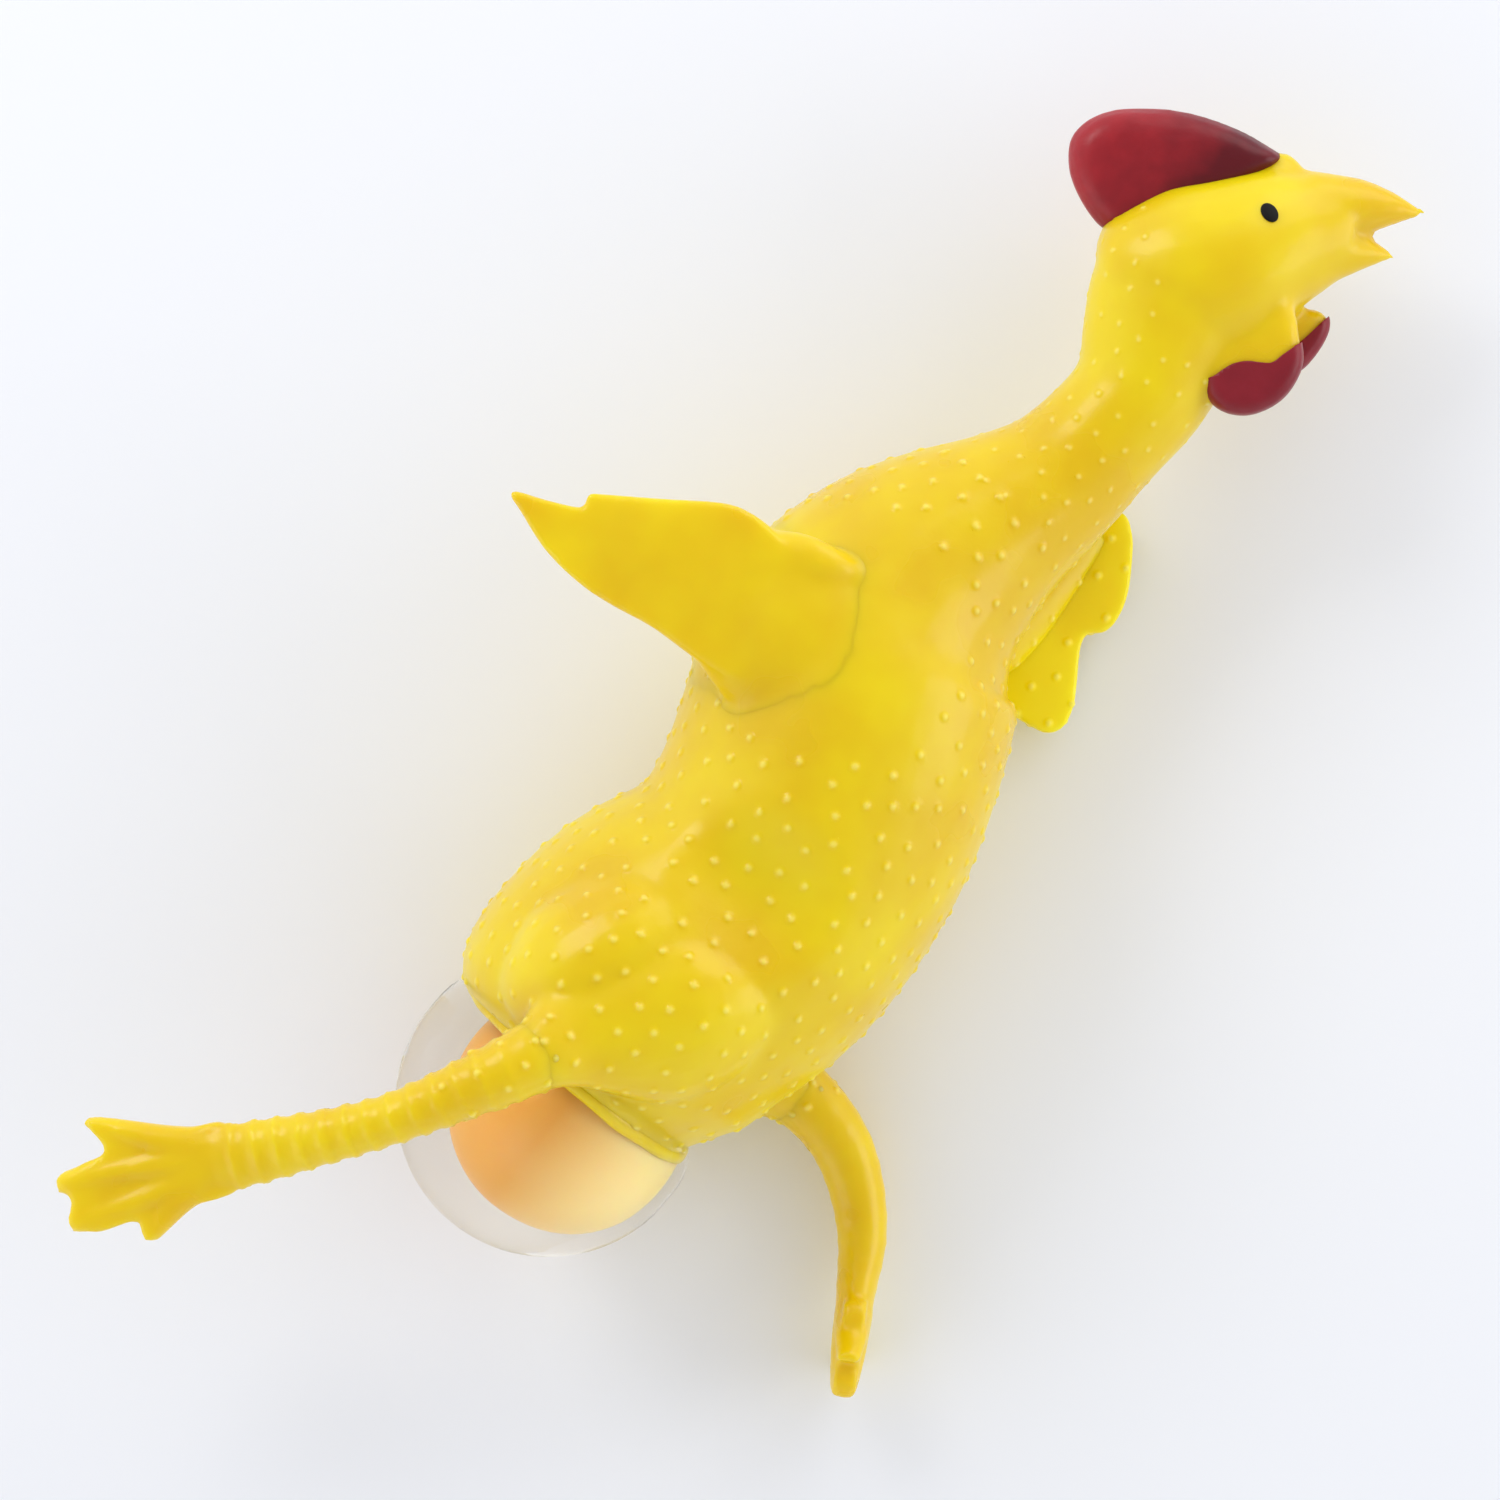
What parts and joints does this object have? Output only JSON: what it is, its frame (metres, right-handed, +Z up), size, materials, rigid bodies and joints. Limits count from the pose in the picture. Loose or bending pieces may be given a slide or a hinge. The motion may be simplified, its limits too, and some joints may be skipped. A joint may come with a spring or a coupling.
{
  "type": "squeeze toy chicken",
  "caption": "Soft rubber plucked chicken that lies on its side and lays an egg: squeezing its sides drives a clear bag with a yolk out of the vent.",
  "frame": {"origin": "centre of the toy's box on the surface that it lies on", "axes": "+X along the spine from the vent to the head, +Y towards the back, +Z up: the toy lies on its left side, so its right side is up"},
  "size_m": [0.1731, 0.0891, 0.0397],
  "materials": {
    "yellow_rubber": "gloss",
    "red_paint": "gloss",
    "black_paint": "gloss",
    "clear_bag": "gloss",
    "egg_fluid": "gloss",
    "yolk_orange": "satin"
  },
  "bodies": {
    "torso": {"torso_shell": "yellow_rubber", "vent_lip": "yellow_rubber", "membrane_collar": "clear_bag", "thigh_right": "yellow_rubber", "thigh_left": "yellow_rubber", "wing_root_right": "yellow_rubber", "wing_root_left": "yellow_rubber"},
    "head": {"neck": "yellow_rubber", "head": "yellow_rubber", "comb": "red_paint", "beak_upper": "yellow_rubber", "beak_lower": "yellow_rubber", "wattle_right": "red_paint", "wattle_left": "red_paint", "eye_right": "black_paint", "eye_left": "black_paint"},
    "right_wing": {"wing_right": "yellow_rubber"},
    "left_wing": {"wing_left": "yellow_rubber"},
    "right_leg": {"shank_right": "yellow_rubber", "foot_right": "yellow_rubber"},
    "left_leg": {"shank_left": "yellow_rubber", "foot_left": "yellow_rubber"},
    "egg": {"egg_membrane": "clear_bag", "egg_white": "egg_fluid", "yolk": "yolk_orange"},
    "right_patch": {"grip_wall_right": "yellow_rubber"},
    "left_patch": {"grip_wall_left": "yellow_rubber"}
  },
  "joints": [
    {"name": "neck_bend", "type": "hinge", "parent": "torso", "child": "head", "pos_m": [0.044, 0.0012, 0.017], "axis": [0, 0, 1], "range_deg": [-30, 30], "stiffness_Nm_per_rad": 0.05},
    {"name": "wing_right_flap", "type": "hinge", "parent": "torso", "child": "right_wing", "pos_m": [0.008, 0.021, 0.031], "axis": [1, 0, 0], "range_deg": [-20, 70], "stiffness_Nm_per_rad": 0.004},
    {"name": "wing_left_flap", "type": "hinge", "parent": "torso", "child": "left_wing", "pos_m": [0.0295, -0.0072, 0.0034], "axis": [-1, 0, 0], "range_deg": [0, 60], "stiffness_Nm_per_rad": 0.002},
    {"name": "leg_right_swing", "type": "hinge", "parent": "torso", "child": "right_leg", "pos_m": [-0.041, 0.0046, 0.0364], "axis": [0, 0, 1], "range_deg": [-30, 40], "stiffness_Nm_per_rad": 0.004},
    {"name": "leg_left_swing", "type": "hinge", "parent": "torso", "child": "left_leg", "pos_m": [-0.028, -0.018, 0.0052], "axis": [0, 0, 1], "range_deg": [-35, 40], "stiffness_Nm_per_rad": 0.004},
    {"name": "egg_slide", "type": "slide", "parent": "torso", "child": "egg", "axis": [1, 0, 0], "range_m": [0, 0.024], "deforming": ["egg_membrane", "egg_white"]},
    {"name": "patch_right_press", "type": "slide", "parent": "torso", "child": "right_patch", "axis": [0, 0, 1], "range_m": [0, 0.0035]},
    {"name": "patch_left_press", "type": "slide", "parent": "torso", "child": "left_patch", "axis": [0, 0, -1], "range_m": [0, 0.0035]}
  ],
  "couplings": [
    {"joint": "patch_right_press", "follows": "egg_slide", "ratio": 0.14583},
    {"joint": "patch_left_press", "follows": "egg_slide", "ratio": 0.14583}
  ]
}
